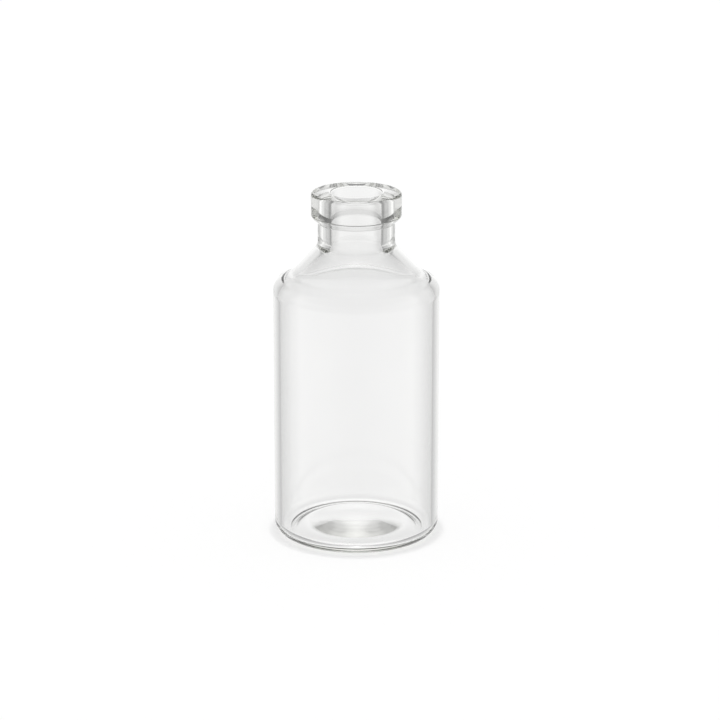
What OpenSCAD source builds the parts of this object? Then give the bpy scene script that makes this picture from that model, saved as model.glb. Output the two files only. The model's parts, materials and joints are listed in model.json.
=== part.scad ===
// Glass sample vial with a 13 mm crimp finish, drawn from one piece of clear tube.
// Millimetres, +Z up. The origin is the centre of the foot, at bench level.

/* [Body] */
// Outside diameter of the body
body_d = 24; // [20:0.5:32]
// Height from the bench to the top of the lip
total_h = 51; // [47:0.5:75]
// Thickness of the body wall
body_wall = 1; // [0.7:0.05:1.3]

/* [Crimp finish] */
// Outside diameter of the lip that the crimp cap grips
lip_d = 13; // [12.7:0.05:13.2]
// Height of the lip, down to where its underside begins
lip_h = 3.5; // [2.8:0.1:4.2]
// Slope of the lip's underside, measured from level
lip_under_angle = 42; // [20:1:55]
// Rounding at the lip's outer top edge
lip_edge_r = 0.45; // [0.2:0.05:0.8]
// Rounding where the lip's side turns under
lip_under_r = 0.8; // [0.4:0.05:1.4]
// Outside diameter of the neck under the lip
neck_d = 11.1; // [10.6:0.1:11.6]
// Diameter of the mouth and of the straight bore under it
bore_d = 7.2; // [6.6:0.1:7.6]
// Rounding at the mouth's inner top edge
mouth_edge_r = 0.35; // [0.2:0.05:0.7]
// Rounding where the neck meets the lip
neck_top_r = 0.35; // [0.2:0.05:0.8]

/* [Shoulder] */
// Height at which the flat of the shoulder would meet the body wall
shoulder_h = 37.7; // [32:0.1:39]
// Slope of the shoulder's outer flat, measured from level
flat_angle = 28.5; // [20:0.5:34]
// Slope of the shoulder's outer cone under the neck, measured from level
cone_angle = 48.5; // [42:0.5:52]
// Diameter at which the flat turns into the cone
break_d = 18.4; // [16.5:0.1:19.5]
// Rounding of the hollow between the flat and the cone
break_r = 7; // [0.5:0.5:10]
// Rounding at the shoulder's outer corner
shoulder_r = 1.9; // [0.6:0.1:2.4]
// Rounding where the cone meets the neck
neck_foot_r = 1.5; // [0.5:0.1:2.2]
// Thickness of the wall where the flat turns into the cone
shoulder_wall = 0.95; // [0.7:0.05:1.2]
// Slope of the inside under the flat, measured from level
flat_in_angle = 30; // [24:0.5:34]
// Slope of the inside under the cone, measured from level
cone_in_angle = 42.5; // [36:0.5:44]
// Rounding of the inside where its slope changes
break_in_r = 3; // [0.5:0.5:9]
// Rounding inside the shoulder's corner
shoulder_in_r = 2.1; // [0.6:0.1:2.6]
// Rounding where the bore opens into the shoulder
bore_foot_r = 1.4; // [0.4:0.1:1.6]

/* [Base] */
// Rounding at the outer edge of the foot
heel_r = 1.9; // [0.8:0.1:2.8]
// Width of the flat ring that the vial stands on, before its inner edge is rounded
foot_w = 0.5; // [0.4:0.1:1.5]
// Rounding at the inner edge of the flat ring
foot_in_r = 0.4; // [0.3:0.1:1.5]
// Height that the underside is pushed up at its middle
push_up = 0.7; // [0.3:0.05:1]
// Width of the slope from the flat ring in to the level middle of the underside
push_up_slope_w = 1.8; // [1.2:0.1:3]
// Rounding where that slope meets the level middle
push_up_r = 7; // [0.5:0.5:10]
// Height of the floor where it would meet the wall
floor_h = 0.9; // [0.7:0.05:1.6]
// Height that the floor rises from the wall to its middle
floor_rise = 1.3; // [0.5:0.1:2]
// Diameter of the level middle of the floor, before its edge is rounded
floor_mid_d = 5; // [3:0.1:8]
// Rounding where the floor's slope meets its level middle
floor_mid_r = 15; // [1:0.5:25]
// Rounding inside, between the wall and the floor
heel_in_r = 0.9; // [0.6:0.1:2.2]

/* [Hidden] */
glass_colour = [0.86, 0.92, 0.92, 0.45];
turn_facets = 180;
arc_facets = 128;

body_r = body_d / 2;
lip_r = lip_d / 2;
neck_r = neck_d / 2;
bore_r = bore_d / 2;
break_at_r = break_d / 2;
floor_mid_at_r = floor_mid_d / 2;
body_ir = body_r - body_wall;
foot_ir = body_r - heel_r - foot_w;
push_up_at_r = foot_ir - push_up_slope_w;

// Corners of the outside, from the body up to the lip
shoulder_out = [body_r, shoulder_h];
break_out = [break_at_r, shoulder_h + (body_r - break_at_r) * tan(flat_angle)];
neck_foot = [neck_r, break_out.y + (break_at_r - neck_r) * tan(cone_angle)];
lip_under_z = total_h - lip_h;
neck_top = [neck_r, lip_under_z - (lip_r - neck_r) * tan(lip_under_angle)];

// Corners of the inside. The wall is measured square to the middle slope of the two outer runs.
middle_angle = (flat_angle + cone_angle) / 2;
break_in = break_out - shoulder_wall * [sin(middle_angle), cos(middle_angle)];
bore_foot = [bore_r, break_in.y + (break_in.x - bore_r) * tan(cone_in_angle)];
shoulder_in = [body_ir, break_in.y - (body_ir - break_in.x) * tan(flat_in_angle)];

// The wall's outline on one side of the axis: radius, height and the corner's rounding
WALL = [
    [0, push_up, 0],
    [push_up_at_r, push_up, push_up_r],
    [foot_ir, 0, foot_in_r],
    [body_r, 0, heel_r],
    [shoulder_out.x, shoulder_out.y, shoulder_r],
    [break_out.x, break_out.y, break_r],
    [neck_foot.x, neck_foot.y, neck_foot_r],
    [neck_top.x, neck_top.y, neck_top_r],
    [lip_r, lip_under_z, lip_under_r],
    [lip_r, total_h, lip_edge_r],
    [bore_r, total_h, mouth_edge_r],
    [bore_foot.x, bore_foot.y, bore_foot_r],
    [break_in.x, break_in.y, break_in_r],
    [shoulder_in.x, shoulder_in.y, shoulder_in_r],
    [body_ir, floor_h, heel_in_r],
    [floor_mid_at_r, floor_h + floor_rise, floor_mid_r],
    [0, floor_h + floor_rise, 0],
];

function flat_part(point) = [point.x, point.y];
function direction(from, to) = (to - from) / norm(to - from);

// One corner of a closed outline before it is rounded: the corner, the ways to its neighbours
// and half of the angle between them
function bare_corner(points, i) =
    let (
        last = len(points) - 1,
        corner = flat_part(points[i]),
        to_before = direction(corner, flat_part(points[i == 0 ? last : i - 1])),
        to_after = direction(corner, flat_part(points[i == last ? 0 : i + 1]))
    )
    [corner, to_before, to_after, acos(to_before * to_after) / 2];

// Length of the sides that a corner's rounding takes up
function wanted_reach(points, i) = points[i][2] / tan(bare_corner(points, i)[3]);

// Share of the wanted roundings for which the side between two corners has room
function room_share(points, i, j) =
    let (
        wanted = wanted_reach(points, i) + wanted_reach(points, j),
        side = norm(flat_part(points[i]) - flat_part(points[j]))
    )
    wanted > side ? side / wanted : 1;

// One rounded corner: the corner, where its arc starts and ends, the arc's centre, its radius
// and the way the outline turns there, which is positive where the corner stands out
function round_corner(points, i) =
    let (
        last = len(points) - 1,
        bare = bare_corner(points, i),
        share = min(
            room_share(points, i, i == 0 ? last : i - 1),
            room_share(points, i, i == last ? 0 : i + 1)
        ),
        radius = points[i][2] * share,
        reach = radius / tan(bare[3]),
        middle = direction([0, 0], bare[1] + bare[2]),
        turn = bare[2].x * bare[1].y - bare[2].y * bare[1].x
    )
    [bare[0], bare[0] + reach * bare[1], bare[0] + reach * bare[2],
        bare[0] + middle * radius / sin(bare[3]), radius, turn];

function is_sharp(corner) = corner[4] == 0;
function stands_out(corner) = corner[4] > 0 && corner[5] > 0;
function sinks_in(corner) = corner[4] > 0 && corner[5] < 0;

// The sliver between a corner's arc and the straight line across it. The sides of its clipping
// shape run out along the arc's radii, so that none of them lies tangent to the arc.
module arc_sliver(corner) {
    start = corner[1];
    end = corner[2];
    centre = corner[3];
    intersection() {
        polygon([start, 2 * start - centre, 2 * end - centre, end]);
        translate(centre) circle(r = corner[4], $fn = arc_facets);
    }
}

// A closed outline, anticlockwise, whose corners are rounded by true arcs. A rounding that its
// sides have no room for is made smaller.
module rounded_outline(points) {
    corners = [for (i = [0:len(points) - 1]) round_corner(points, i)];
    difference() {
        union() {
            polygon([for (c = corners) each is_sharp(c) ? [c[0]] : [c[1], c[2]]]);
            for (c = corners) if (stands_out(c)) arc_sliver(c);
        }
        for (c = corners) if (sinks_in(c)) arc_sliver(c);
    }
}

// The whole vial is one piece of glass
module vial() {
    color(glass_colour) rotate_extrude($fn = turn_facets) rounded_outline(WALL);
}

vial();
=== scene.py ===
"""Clear glass sample vial with a crimp finish, standing on a pale table in a light tent."""

import json
import logging
import math
from dataclasses import dataclass
from enum import Enum
from typing import Any

import bmesh
import bpy
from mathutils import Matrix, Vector


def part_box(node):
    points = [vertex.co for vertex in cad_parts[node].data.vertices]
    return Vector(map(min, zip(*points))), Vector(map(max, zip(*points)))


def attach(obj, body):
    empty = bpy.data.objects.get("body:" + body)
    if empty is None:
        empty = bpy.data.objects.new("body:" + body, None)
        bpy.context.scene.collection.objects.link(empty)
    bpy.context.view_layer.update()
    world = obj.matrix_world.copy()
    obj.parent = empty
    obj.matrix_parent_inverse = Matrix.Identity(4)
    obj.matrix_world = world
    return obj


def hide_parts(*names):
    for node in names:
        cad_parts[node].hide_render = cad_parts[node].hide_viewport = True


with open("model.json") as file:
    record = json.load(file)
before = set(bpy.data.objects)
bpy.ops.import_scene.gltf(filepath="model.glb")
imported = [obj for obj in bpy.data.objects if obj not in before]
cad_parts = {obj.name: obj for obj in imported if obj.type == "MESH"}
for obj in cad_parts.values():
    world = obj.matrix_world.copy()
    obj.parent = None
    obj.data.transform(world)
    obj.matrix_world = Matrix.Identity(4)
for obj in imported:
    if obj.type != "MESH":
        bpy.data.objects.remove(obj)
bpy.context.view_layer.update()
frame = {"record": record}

MM = 0.001
# Degrees in half a turn, which is the whole length of a ramp
HALF_TURN = 180.0
# The place of level on a ramp that runs from straight down to straight up
RAMP_MIDDLE = 0.5
# A ray's whole-number count is one or more where it is over this
AT_LEAST_ONCE = 0.5
# The CAD node, the piece that stands for it and the attribute that holds its corners' roundings
NODE = "vial"
PIECE = "vial_glass"
ROUNDING = "rounding"
LOG = logging.getLogger("sample_vial")

Stops = tuple[tuple[float, float], ...]
Shade = tuple[float, float, float]


# --- nodes --------------------------------------------------------------------------------------


class Sock:
    """A node's output socket that can be used in Python expressions."""

    def __init__(self, tree: bpy.types.NodeTree, socket: bpy.types.NodeSocket) -> None:
        """Keep the tree and the socket that the expressions add their nodes to."""
        self.tree = tree
        self.socket = socket

    def maths(self, operation: str, *others: "Sock | float", swap: bool = False) -> "Sock":
        """Add one Math node.

        Args:
            operation: the Math node's operation.
            others: the further values or sockets that the operation takes.
            swap: whether this socket is the last operand instead of the first.

        Returns:
            The result as a new wrapped socket.
        """
        operands = [*others, self] if swap else [self, *others]
        kit = NodeKit(self.tree)
        return kit.add("ShaderNodeMath", {"operation": operation}, dict(enumerate(operands)))

    def __add__(self, other: "Sock | float") -> "Sock":
        """self + other"""
        return self.maths("ADD", other)

    def __radd__(self, other: float) -> "Sock":
        """other + self"""
        return self.maths("ADD", other, swap=True)

    def __sub__(self, other: "Sock | float") -> "Sock":
        """self - other"""
        return self.maths("SUBTRACT", other)

    def __rsub__(self, other: float) -> "Sock":
        """other - self"""
        return self.maths("SUBTRACT", other, swap=True)

    def __mul__(self, other: "Sock | float") -> "Sock":
        """self * other"""
        return self.maths("MULTIPLY", other)

    def __rmul__(self, other: float) -> "Sock":
        """other * self"""
        return self.maths("MULTIPLY", other, swap=True)

    def __truediv__(self, other: "Sock | float") -> "Sock":
        """self / other"""
        return self.maths("DIVIDE", other)

    def __rtruediv__(self, other: float) -> "Sock":
        """other / self"""
        return self.maths("DIVIDE", other, swap=True)

    def __gt__(self, other: "Sock | float") -> "Sock":
        """1 where self is the greater, otherwise 0"""
        return self.maths("GREATER_THAN", other)

    def either(self, other: "Sock") -> "Sock":
        """The larger of the two, which is an or of two masks."""
        return self.maths("MAXIMUM", other)

    def blend(self, low: "Sock | float", high: "Sock | float") -> "Sock":
        """low where this mask is 0 and high where it is 1."""
        return self * high + (1 - self) * low


class NodeKit:
    """Makes the nodes of one tree."""

    def __init__(self, tree: bpy.types.NodeTree) -> None:
        """Keep the tree."""
        self.tree = tree

    def add(
        self,
        kind: str,
        settings: dict[str, Any] | None = None,
        inputs: dict[int | str, Any] | None = None,
        output: int | str = 0,
    ) -> Sock:
        """Make one node.

        Args:
            kind: the node's type name.
            settings: attributes set first. "stops" fills a colour ramp with (place, grey) pairs.
            inputs: values or wrapped sockets by input name or number.
            output: the output to hand back, by name or number.

        Returns:
            The chosen output as a wrapped socket.
        """
        node = self.tree.nodes.new(kind)
        for name, value in (settings or {}).items():
            if name == "stops":
                self._fill_ramp(node.color_ramp, value)
            else:
                setattr(node, name, value)
        for key, value in (inputs or {}).items():
            if isinstance(value, Sock):
                self.tree.links.new(value.socket, node.inputs[key])
            else:
                node.inputs[key].default_value = value
        return Sock(self.tree, node.outputs[output])

    @staticmethod
    def _fill_ramp(ramp: bpy.types.ColorRamp, stops: Stops) -> None:
        """Give a ramp its stops.

        Args:
            ramp: the colour ramp.
            stops: each stop's place from 0 to 1 and its grey.
        """
        while len(ramp.elements) > 1:
            ramp.elements.remove(ramp.elements[-1])
        for number, (place, grey) in enumerate(stops):
            stop = ramp.elements[0] if number == 0 else ramp.elements.new(place)
            stop.position = place
            stop.color = (grey, grey, grey, 1.0)

    def link_to(self, source: Sock, node: bpy.types.Node, key: int | str) -> None:
        """Link a wrapped socket to a node that is already there."""
        self.tree.links.new(source.socket, node.inputs[key])


class Ray(Enum):
    """What the Light Path node tells about a ray."""

    FROM_CAMERA = "Is Camera Ray"
    GLOSSY = "Is Glossy Ray"
    TRANSMITTED = "Is Transmission Ray"
    SCATTERED_COUNT = "Diffuse Depth"
    MIRRORED_COUNT = "Glossy Depth"
    TRANSMITTED_COUNT = "Transmission Depth"

    def read(self, kit: NodeKit) -> Sock:
        """Read this from a Light Path node."""
        return kit.add("ShaderNodeLightPath", None, None, self.value)


# --- the vial -----------------------------------------------------------------------------------


@dataclass(frozen=True)
class Corner:
    """A corner of the wall's outline: radius and height in metres, and its rounding."""

    r: float
    z: float
    rounding: float = 0.0


@dataclass(frozen=True)
class VialSizes:
    """The vial's sizes in metres: the ones that the frame gives, then the form of the glass."""

    body_r: float
    lip_r: float
    bore_r: float
    total_h: float
    body_wall: float = 1.0 * MM
    lip_h: float = 3.5 * MM
    lip_under_angle: float = math.radians(42)
    lip_edge_r: float = 0.45 * MM
    lip_under_r: float = 0.8 * MM
    neck_r: float = 5.55 * MM
    mouth_edge_r: float = 0.35 * MM
    neck_top_r: float = 0.35 * MM
    shoulder_h: float = 37.7 * MM
    flat_angle: float = math.radians(28.5)
    cone_angle: float = math.radians(48.5)
    break_at_r: float = 9.2 * MM
    break_r: float = 7.0 * MM
    shoulder_r: float = 1.9 * MM
    neck_foot_r: float = 1.5 * MM
    shoulder_wall: float = 0.95 * MM
    flat_in_angle: float = math.radians(30)
    cone_in_angle: float = math.radians(42.5)
    break_in_r: float = 3.0 * MM
    shoulder_in_r: float = 2.1 * MM
    bore_foot_r: float = 1.4 * MM
    heel_r: float = 1.9 * MM
    foot_w: float = 0.5 * MM
    foot_in_r: float = 0.4 * MM
    push_up: float = 0.7 * MM
    push_up_slope_w: float = 1.8 * MM
    push_up_r: float = 7.0 * MM
    floor_h: float = 0.9 * MM
    floor_rise: float = 1.3 * MM
    floor_mid_at_r: float = 2.5 * MM
    floor_mid_r: float = 15.0 * MM
    heel_in_r: float = 0.9 * MM

    @classmethod
    def from_frame(cls, record: dict[str, Any]) -> "VialSizes":
        """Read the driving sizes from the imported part.

        Args:
            record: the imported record, whose round mounts give the radii.

        Returns:
            The vial's sizes.
        """
        radius = {
            mount["name"]: mount["dims"]["r_mm"] * MM
            for mount in record["mounts"]
            if "r_mm" in mount["dims"]
        }
        low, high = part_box(NODE)
        return cls(
            body_r=radius["body_side"],
            lip_r=radius["crimp_lip"],
            bore_r=radius["mouth"],
            total_h=high.z - low.z,
        )


@dataclass
class TurnedVial:
    """The vial's glass: one wall outline, rounded at its corners and turned about the axis."""

    sizes: VialSizes
    corner_steps: int = 20
    turn_steps: int = 224
    guide_r: float = 1.0 * MM
    weld: float = 0.5e-6

    def shoulder_outside(self) -> tuple[Corner, Corner, Corner]:
        """Lay out the shoulder's outer corners.

        Returns:
            The corners at the body, at the break of slope and at the foot of the neck.
        """
        size = self.sizes
        break_z = size.shoulder_h + (size.body_r - size.break_at_r) * math.tan(size.flat_angle)
        neck_z = break_z + (size.break_at_r - size.neck_r) * math.tan(size.cone_angle)
        return (
            Corner(size.body_r, size.shoulder_h, size.shoulder_r),
            Corner(size.break_at_r, break_z, size.break_r),
            Corner(size.neck_r, neck_z, size.neck_foot_r),
        )

    def shoulder_inside(self) -> tuple[Corner, Corner, Corner]:
        """Lay out the shoulder's inner corners, a wall's thickness in at the break of slope.

        Returns:
            The corners at the foot of the bore, at the break of slope and at the body wall.
        """
        size = self.sizes
        break_out = self.shoulder_outside()[1]
        lean = (size.flat_angle + size.cone_angle) / 2
        break_r = break_out.r - size.shoulder_wall * math.sin(lean)
        break_z = break_out.z - size.shoulder_wall * math.cos(lean)
        bore_z = break_z + (break_r - size.bore_r) * math.tan(size.cone_in_angle)
        wall_r = size.body_r - size.body_wall
        wall_z = break_z - (wall_r - break_r) * math.tan(size.flat_in_angle)
        return (
            Corner(size.bore_r, bore_z, size.bore_foot_r),
            Corner(break_r, break_z, size.break_in_r),
            Corner(wall_r, wall_z, size.shoulder_in_r),
        )

    def outline(self) -> list[Corner]:
        """List the wall's corners.

        Returns:
            The corners from the centre of the underside, round the outside, over the lip and
            down the inside to the centre of the floor.
        """
        size = self.sizes
        under_z = size.total_h - size.lip_h
        neck_top_z = under_z - (size.lip_r - size.neck_r) * math.tan(size.lip_under_angle)
        foot_ir = size.body_r - size.heel_r - size.foot_w
        floor_top = size.floor_h + size.floor_rise
        return [
            Corner(0.0, size.push_up),
            Corner(foot_ir - size.push_up_slope_w, size.push_up, size.push_up_r),
            Corner(foot_ir, 0.0, size.foot_in_r),
            Corner(size.body_r, 0.0, size.heel_r),
            *self.shoulder_outside(),
            Corner(size.neck_r, neck_top_z, size.neck_top_r),
            Corner(size.lip_r, under_z, size.lip_under_r),
            Corner(size.lip_r, size.total_h, size.lip_edge_r),
            Corner(size.bore_r, size.total_h, size.mouth_edge_r),
            *self.shoulder_inside(),
            Corner(size.body_r - size.body_wall, size.floor_h, size.heel_in_r),
            Corner(size.floor_mid_at_r, floor_top, size.floor_mid_r),
            Corner(0.0, floor_top),
        ]

    def outline_object(self) -> bpy.types.Object:
        """Lay the outline out as a chain of edges, with each corner's rounding as an attribute.

        Returns:
            The outline as an object, X being the radius past the guide circle and Y the depth.
        """
        corners = self.outline()
        mesh = bpy.data.meshes.new(PIECE)
        places = [(corner.r - self.guide_r, -corner.z, 0.0) for corner in corners]
        mesh.from_pydata(places, [(i, i + 1) for i in range(len(places) - 1)], [])
        rounding = mesh.attributes.new(ROUNDING, "FLOAT", "POINT")
        rounding.data.foreach_set("value", [corner.rounding for corner in corners])
        outline = bpy.data.objects.new(PIECE, mesh)
        bpy.context.scene.collection.objects.link(outline)
        return outline

    def turning_tree(self) -> bpy.types.GeometryNodeTree:
        """Build the tree that rounds an outline's corners and turns it about the axis.

        Returns:
            The node tree, with named inputs for its sizes.
        """
        tree = bpy.data.node_groups.new("turned_glass", "GeometryNodeTree")
        face = tree.interface
        face.new_socket("Outline", in_out="INPUT", socket_type="NodeSocketGeometry")
        for name, kind in (
            ("Corner Steps", "NodeSocketInt"),
            ("Turn Steps", "NodeSocketInt"),
            ("Guide Radius", "NodeSocketFloat"),
            ("Weld Distance", "NodeSocketFloat"),
            ("Glass", "NodeSocketMaterial"),
        ):
            face.new_socket(name, in_out="INPUT", socket_type=kind)
        face.new_socket("Turned", in_out="OUTPUT", socket_type="NodeSocketGeometry")
        kit = NodeKit(tree)
        group_in = tree.nodes.new("NodeGroupInput")
        given = {socket.name: Sock(tree, socket) for socket in group_in.outputs if socket.name}
        rounding = kit.add(
            "GeometryNodeInputNamedAttribute", {"data_type": "FLOAT"}, {"Name": ROUNDING}, "Attribute"
        )
        chain = kit.add("GeometryNodeMeshToCurve", None, {"Mesh": given["Outline"]})
        rounded = kit.add(
            "GeometryNodeFilletCurve",
            {"mode": "POLY"},
            {"Curve": chain, "Count": given["Corner Steps"], "Radius": rounding},
        )
        guide = kit.add(
            "GeometryNodeCurvePrimitiveCircle",
            None,
            {"Resolution": given["Turn Steps"], "Radius": given["Guide Radius"]},
        )
        upright = kit.add("GeometryNodeSetCurveNormal", {"mode": "Z_UP"}, {"Curve": guide})
        swept = kit.add(
            "GeometryNodeCurveToMesh", None, {"Curve": upright, "Profile Curve": rounded}
        )
        welded = kit.add(
            "GeometryNodeMergeByDistance",
            None,
            {"Geometry": swept, "Distance": given["Weld Distance"]},
        )
        smooth = kit.add("GeometryNodeSetShadeSmooth", None, {"Geometry": welded})
        real = kit.add("GeometryNodeRealizeInstances", None, {"Geometry": smooth})
        dressed = kit.add(
            "GeometryNodeSetMaterial", None, {"Geometry": real, "Material": given["Glass"]}
        )
        group_out = tree.nodes.new("NodeGroupOutput")
        kit.link_to(dressed, group_out, "Turned")
        return tree

    def build(self, glass: bpy.types.Material) -> bpy.types.Object:
        """Turn the glass and settle it as a plain mesh.

        Args:
            glass: the material of the whole piece.

        Returns:
            The finished piece, at the origin.
        """
        piece = self.outline_object()
        tree = self.turning_tree()
        turning = piece.modifiers.new("turning", "NODES")
        turning.node_group = tree
        values = {
            "Corner Steps": self.corner_steps,
            "Turn Steps": self.turn_steps,
            "Guide Radius": self.guide_r,
            "Weld Distance": self.weld,
            "Glass": glass,
        }
        for item in tree.interface.items_tree:
            if item.item_type == "SOCKET" and item.in_out == "INPUT" and item.name in values:
                turning[item.identifier] = values[item.name]
        settle(piece)
        face_out(piece)
        shade_by_area(piece)
        return piece


def settle(piece: bpy.types.Object) -> None:
    """Turn a piece's modifiers into a plain mesh and take them off it.

    Args:
        piece: the piece, whose new mesh keeps the old one's name.
    """
    depsgraph = bpy.context.evaluated_depsgraph_get()
    mesh = bpy.data.meshes.new_from_object(piece.evaluated_get(depsgraph), depsgraph=depsgraph)
    old = piece.data
    piece.modifiers.clear()
    piece.data = mesh
    mesh.name = old.name
    bpy.data.meshes.remove(old)


def face_out(piece: bpy.types.Object) -> None:
    """Make every face of a piece point outwards.

    Args:
        piece: a closed piece with its modifiers settled.
    """
    work = bmesh.new()
    work.from_mesh(piece.data)
    bmesh.ops.recalc_face_normals(work, faces=work.faces)
    work.to_mesh(piece.data)
    work.free()


def shade_by_area(piece: bpy.types.Object) -> None:
    """Let the broad faces set the shading at each edge, so that straight runs look straight.

    Args:
        piece: a smooth-shaded piece.
    """
    weighted = piece.modifiers.new("weighted", "WEIGHTED_NORMAL")
    weighted.mode = "FACE_AREA"
    weighted.keep_sharp = False
    settle(piece)


# --- finishes -----------------------------------------------------------------------------------


@dataclass(frozen=True)
class DrawnGlass:
    """Clear glass drawn as tube and shaped in a flame.

    The tube keeps faint lines along its length, and the flame leaves broad soft ripples. Long ways
    through the glass take on a trace of colour.
    """

    ior: float = 1.49
    bright_tint: Shade = (1.0, 1.0, 1.0)
    dull_tint: Shade = (0.985, 0.985, 0.985)
    tint_scale: float = 160.0
    tint_detail: float = 2.0
    line_scale: float = 900.0
    line_stretch: float = 0.02
    line_share: float = 0.4
    ripple_scale: float = 220.0
    relief_detail: float = 1.0
    relief: float = 0.22
    relief_depth: float = 1.0e-6
    depth_tint: Shade = (0.90, 0.93, 0.72)
    depth_density: float = 9.0

    def material(self) -> bpy.types.Material:
        """Make the material.

        Returns:
            The glass.
        """
        made = bpy.data.materials.new("drawn_glass")
        made.use_nodes = True
        tree = made.node_tree
        kit = NodeKit(tree)
        shader = tree.nodes["Principled BSDF"]
        shader.inputs["Roughness"].default_value = 0.0
        shader.inputs["IOR"].default_value = self.ior
        shader.inputs["Transmission Weight"].default_value = 1.0
        place = kit.add("ShaderNodeTexCoord", None, None, "Object")
        kit.link_to(self._tint(kit, place), shader, "Base Color")
        kit.link_to(self._relief(kit, place), shader, "Normal")
        trace = {"Color": (*self.depth_tint, 1.0), "Density": self.depth_density}
        depth = kit.add("ShaderNodeVolumeAbsorption", None, trace)
        kit.link_to(depth, tree.nodes["Material Output"], "Volume")
        return made

    def _tint(self, kit: NodeKit, place: Sock) -> Sock:
        """Vary the tint a little from place to place.

        Args:
            kit: makes the material's nodes.
            place: the place in the piece's own space.

        Returns:
            The tint.
        """
        drift = {"Vector": place, "Scale": self.tint_scale, "Detail": self.tint_detail}
        cloud = kit.add("ShaderNodeTexNoise", None, drift)
        return kit.add(
            "ShaderNodeMix",
            {"data_type": "RGBA"},
            {"Factor": cloud, "A": (*self.bright_tint, 1.0), "B": (*self.dull_tint, 1.0)},
            "Result",
        )

    def _relief(self, kit: NodeKit, place: Sock) -> Sock:
        """Raise the lines of the draw and the ripples of the flame.

        Args:
            kit: makes the material's nodes.
            place: the place in the piece's own space.

        Returns:
            The direction that the surface faces.
        """
        along = kit.add(
            "ShaderNodeMapping", None, {"Vector": place, "Scale": (1.0, 1.0, self.line_stretch)}
        )
        fine = {"Vector": along, "Scale": self.line_scale, "Detail": self.relief_detail}
        broad = {"Vector": place, "Scale": self.ripple_scale, "Detail": self.relief_detail}
        lines = kit.add("ShaderNodeTexNoise", None, fine)
        ripple = kit.add("ShaderNodeTexNoise", None, broad)
        height = lines * self.line_share + ripple
        return kit.add(
            "ShaderNodeBump",
            None,
            {"Strength": self.relief, "Distance": self.relief_depth, "Height": height},
            "Normal",
        )


# --- the studio ---------------------------------------------------------------------------------


@dataclass(frozen=True)
class Surround:
    """How bright the tent is, by the angle round and by the angle up.

    The angles are in degrees. Round the vial they run from 0 straight behind it to 180 straight in
    front, alike on both sides. Upwards they run from -90 straight down to 90 straight up.
    """

    side_stops: Stops
    height_stops: Stops

    def brightness(self, kit: NodeKit, side: Sock, up: Sock) -> Sock:
        """Look the brightness up.

        Args:
            kit: makes the nodes of the tree that needs it.
            side: the angle round, from 0 straight behind to 1 straight in front.
            up: the angle up, from 0 straight down to 1 straight up.

        Returns:
            The brightness.
        """
        by_side = tuple((angle / HALF_TURN, grey) for angle, grey in self.side_stops)
        by_height = tuple(
            (angle / HALF_TURN + RAMP_MIDDLE, grey) for angle, grey in self.height_stops
        )
        across = kit.add("ShaderNodeValToRGB", {"stops": by_side}, {0: side})
        upward = kit.add("ShaderNodeValToRGB", {"stops": by_height}, {0: up})
        return across * upward


@dataclass(frozen=True)
class LightTent:
    """The white surroundings, which light the table and stand behind the glass.

    Seen past the vial they are plain white. Straight through the glass they are a little darker
    beside the middle and overhead. Mirrored in the glass they are brightest behind the vial and
    below it and darker in front, with a dark flag at each side and a dark ceiling. What lights the
    table is a little weaker where it has come through the glass.
    """

    straight: Surround = Surround(
        side_stops=((0, 1.0), (12, 1.02), (25, 0.8), (40, 0.8), (70, 1.0), (110, 1.0)),
        height_stops=(
            (-90, 1.1), (-45, 1.1), (-28, 0.9), (-17, 0.965), (7, 0.84), (25, 0.88), (90, 0.75),
        ),
    )
    mirrored: Surround = Surround(
        side_stops=(
            (0, 1.15), (8, 1.0), (14, 0.84), (27, 0.77), (36, 0.57), (50, 0.56), (58, 0.46),
            (65, 0.3), (71, 0.36), (80, 0.8), (110, 0.66), (180, 0.49),
        ),
        height_stops=(
            (-90, 1.1), (-60, 1.0), (-42, 0.82), (-28, 0.88), (-17, 1.01), (7, 0.99),
            (20, 0.98), (30, 0.62), (42, 0.18), (90, 0.08),
        ),
    )
    table_light: float = 1.03
    light_through_glass: float = 0.975

    def build(self) -> bpy.types.World:
        """Make the tent and put it round the scene.

        Returns:
            The world.
        """
        world = bpy.data.worlds.new("light_tent")
        world.use_nodes = True
        world.cycles.sampling_method = "NONE"
        tree = world.node_tree
        tree.nodes.clear()
        kit = NodeKit(tree)
        way = kit.add("ShaderNodeTexCoord", None, None, "Generated")
        x, y, z = (kit.add("ShaderNodeSeparateXYZ", None, {0: way}, axis) for axis in "XYZ")
        side = x.maths("ARCTAN2", y).maths("ABSOLUTE") / math.pi
        up = z.maths("ARCSINE") / math.pi + RAMP_MIDDLE
        straight = self.straight.brightness(kit, side, up)
        mirrored = self.mirrored.brightness(kit, side, up)
        by_glass = (Ray.MIRRORED_COUNT.read(kit) > AT_LEAST_ONCE).blend(straight, mirrored)
        seen = Ray.FROM_CAMERA.read(kit).blend(by_glass, 1.0)
        through = Ray.TRANSMITTED_COUNT.read(kit) > AT_LEAST_ONCE
        light = through.blend(self.table_light, self.light_through_glass)
        strength = (Ray.SCATTERED_COUNT.read(kit) > AT_LEAST_ONCE).blend(seen, light)
        white = {"Color": (1.0, 1.0, 1.0, 1.0), "Strength": strength}
        tent = kit.add("ShaderNodeBackground", None, white)
        kit.link_to(tent, tree.nodes.new("ShaderNodeOutputWorld"), "Surface")
        bpy.context.scene.world = world
        return world


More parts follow.
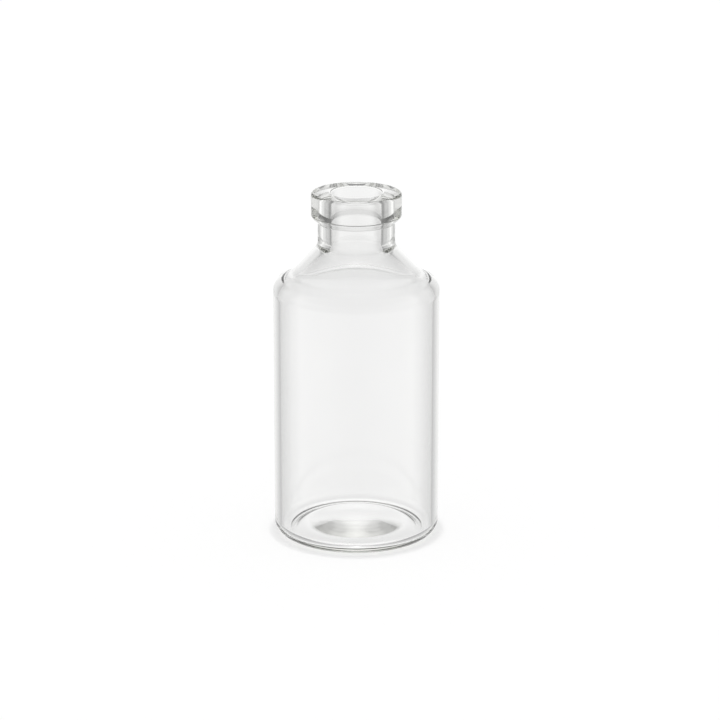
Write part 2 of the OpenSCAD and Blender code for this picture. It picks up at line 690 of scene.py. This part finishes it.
@dataclass(frozen=True)
class Table:
    """The pale table, which keeps the vial's shadow.

    Seen through the glass or mirrored in it, the table fades into the tent and is gone at fade_to
    from the axis. The fade is counted from fade_from, which lies below nought, so that only a
    trace of the table is left round the vial.
    """

    radius: float = 3.0
    sides: int = 96
    shade: float = 0.98
    fade_from: float = -1.0
    fade_to: float = 0.12

    def material(self) -> bpy.types.Material:
        """Make the table's material.

        Returns:
            A white that keeps shadows.
        """
        made = bpy.data.materials.new("table")
        made.use_nodes = True
        tree = made.node_tree
        tree.nodes.clear()
        kit = NodeKit(tree)
        by_glass = Ray.TRANSMITTED.read(kit).either(Ray.GLOSSY.read(kit))
        place = kit.add("ShaderNodeTexCoord", None, None, "Object")
        off_axis = kit.add("ShaderNodeVectorMath", {"operation": "LENGTH"}, {0: place}, "Value")
        away = kit.add(
            "ShaderNodeMapRange",
            {"interpolation_type": "SMOOTHSTEP"},
            {"Value": off_axis, "From Min": self.fade_from, "From Max": self.fade_to},
        )
        colour = (self.shade, self.shade, self.shade, 1.0)
        white = kit.add("ShaderNodeBsdfDiffuse", None, {"Color": colour})
        clear = kit.add("ShaderNodeBsdfTransparent")
        faded = kit.add("ShaderNodeMixShader", None, {0: by_glass * away, 1: white, 2: clear})
        kit.link_to(faded, tree.nodes.new("ShaderNodeOutputMaterial"), "Surface")
        return made

    def build(self) -> bpy.types.Object:
        """Lay the table out as one round face at bench level.

        Returns:
            The table.
        """
        mesh = bpy.data.meshes.new("table")
        work = bmesh.new()
        bmesh.ops.create_circle(work, cap_ends=True, segments=self.sides, radius=self.radius)
        work.to_mesh(mesh)
        work.free()
        table = bpy.data.objects.new("table", mesh)
        bpy.context.scene.collection.objects.link(table)
        mesh.materials.append(self.material())
        return table


@dataclass(frozen=True)
class Camera:
    """The camera, in front of the vial and a little above it."""

    distance: float = 427 * MM
    rise: float = math.radians(17.04)
    sensor_mm: float = 36.0
    lens_mm: float = 147.1
    shift_x: float = 0.005
    shift_y: float = 0.004
    clip_start: float = 0.01
    clip_end: float = 20.0

    def build(self, aim_z: float) -> bpy.types.Object:
        """Place the camera.

        Args:
            aim_z: the height of the point on the axis that it looks at.

        Returns:
            The camera, made the scene's own.
        """
        lens = bpy.data.cameras.new("camera")
        lens.sensor_width = self.sensor_mm
        lens.lens = self.lens_mm
        lens.shift_x = self.shift_x
        lens.shift_y = self.shift_y
        lens.clip_start = self.clip_start
        lens.clip_end = self.clip_end
        eye = bpy.data.objects.new("camera", lens)
        bpy.context.scene.collection.objects.link(eye)
        back = Vector((0.0, -math.cos(self.rise), math.sin(self.rise)))
        eye.location = Vector((0.0, 0.0, aim_z)) + self.distance * back
        eye.rotation_euler = (math.pi / 2 - self.rise, 0.0, 0.0)
        bpy.context.scene.camera = eye
        return eye


@dataclass(frozen=True)
class LightPaths:
    """How far light is followed: thick glass turns it many times before it leaves."""

    longest: int = 24
    mirrored: int = 16
    transmitted: int = 24

    def allow(self, scene: bpy.types.Scene) -> None:
        """Let a scene follow light this far, with nothing blurred on its way.

        Args:
            scene: the scene that is rendered.
        """
        scene.cycles.max_bounces = self.longest
        scene.cycles.glossy_bounces = self.mirrored
        scene.cycles.transmission_bounces = self.transmitted
        scene.cycles.blur_glossy = 0.0


# --- the scene ----------------------------------------------------------------------------------


def main() -> None:
    """Build the vial in its studio and note its size."""
    scene = bpy.context.scene
    scene.view_settings.view_transform = "Standard"
    LightPaths().allow(scene)
    sizes = VialSizes.from_frame(frame["record"])
    vial = TurnedVial(sizes).build(DrawnGlass().material())
    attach(vial, "root")
    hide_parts(NODE)
    LOG.info("%s: %d faces", vial.name, len(vial.data.polygons))
    table = Table().build()
    LOG.info("%s: %d sides", table.name, len(table.data.vertices))
    LOG.info("world: %s", LightTent().build().name)
    LOG.info("camera: %s", Camera().build(sizes.total_h / 2).name)


if __name__ == "__main__":
    logging.basicConfig(level=logging.INFO, format="%(message)s")
    main()
